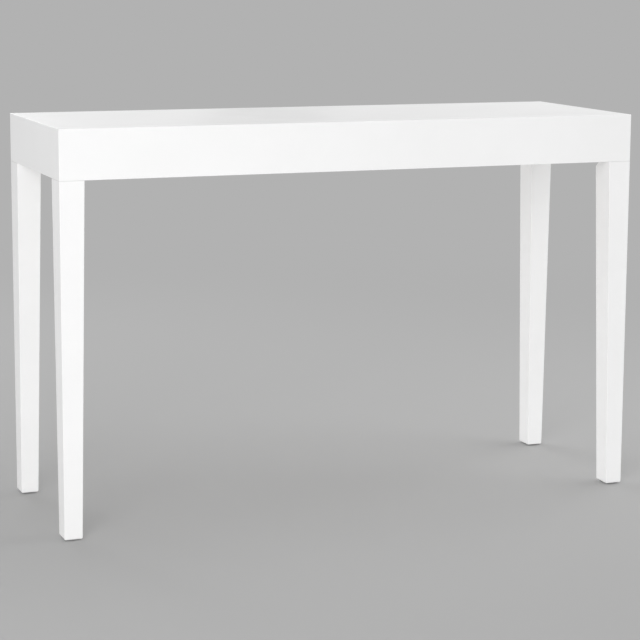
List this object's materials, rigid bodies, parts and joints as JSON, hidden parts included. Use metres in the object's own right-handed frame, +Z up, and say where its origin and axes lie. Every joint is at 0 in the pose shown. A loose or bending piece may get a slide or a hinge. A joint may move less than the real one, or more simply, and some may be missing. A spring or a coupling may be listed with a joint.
{
  "type": "parsons table",
  "caption": "Narrow white lacquered parsons table: a mitred box top with flush aprons on tapered legs that bolt into its corners.",
  "frame": {"origin": "on the floor, under the middle of the table", "axes": "+X along the length, to the right seen from the front; +Y from front to rear; +Z up"},
  "size_m": [1.2, 0.4, 0.78],
  "materials": {
    "white_lacquer": "white satin lacquer on fibreboard and on solid wood",
    "pine": "planed, bare",
    "beech": "turned, bare",
    "zinc_steel": "bright zinc plated",
    "nylon": "smooth moulded"
  },
  "bodies": {
    "root": {"top_panel": "white_lacquer", "front_apron": "white_lacquer", "rear_apron": "white_lacquer", "left_apron": "white_lacquer", "right_apron": "white_lacquer", "front_left_leg": "white_lacquer", "front_right_leg": "white_lacquer", "rear_left_leg": "white_lacquer", "rear_right_leg": "white_lacquer", "left_rail": "pine", "right_rail": "pine", "glue_blocks": "pine", "rail_dowels": "beech", "front_left_bracket": "zinc_steel", "front_right_bracket": "zinc_steel", "rear_left_bracket": "zinc_steel", "rear_right_bracket": "zinc_steel", "bracket_screws": "zinc_steel", "hanger_bolts": "zinc_steel", "bolt_washers": "zinc_steel", "bolt_nuts": "zinc_steel", "glide_nails": "zinc_steel", "front_left_glide": "nylon", "front_right_glide": "nylon", "rear_left_glide": "nylon", "rear_right_glide": "nylon"}
  },
  "joints": []
}
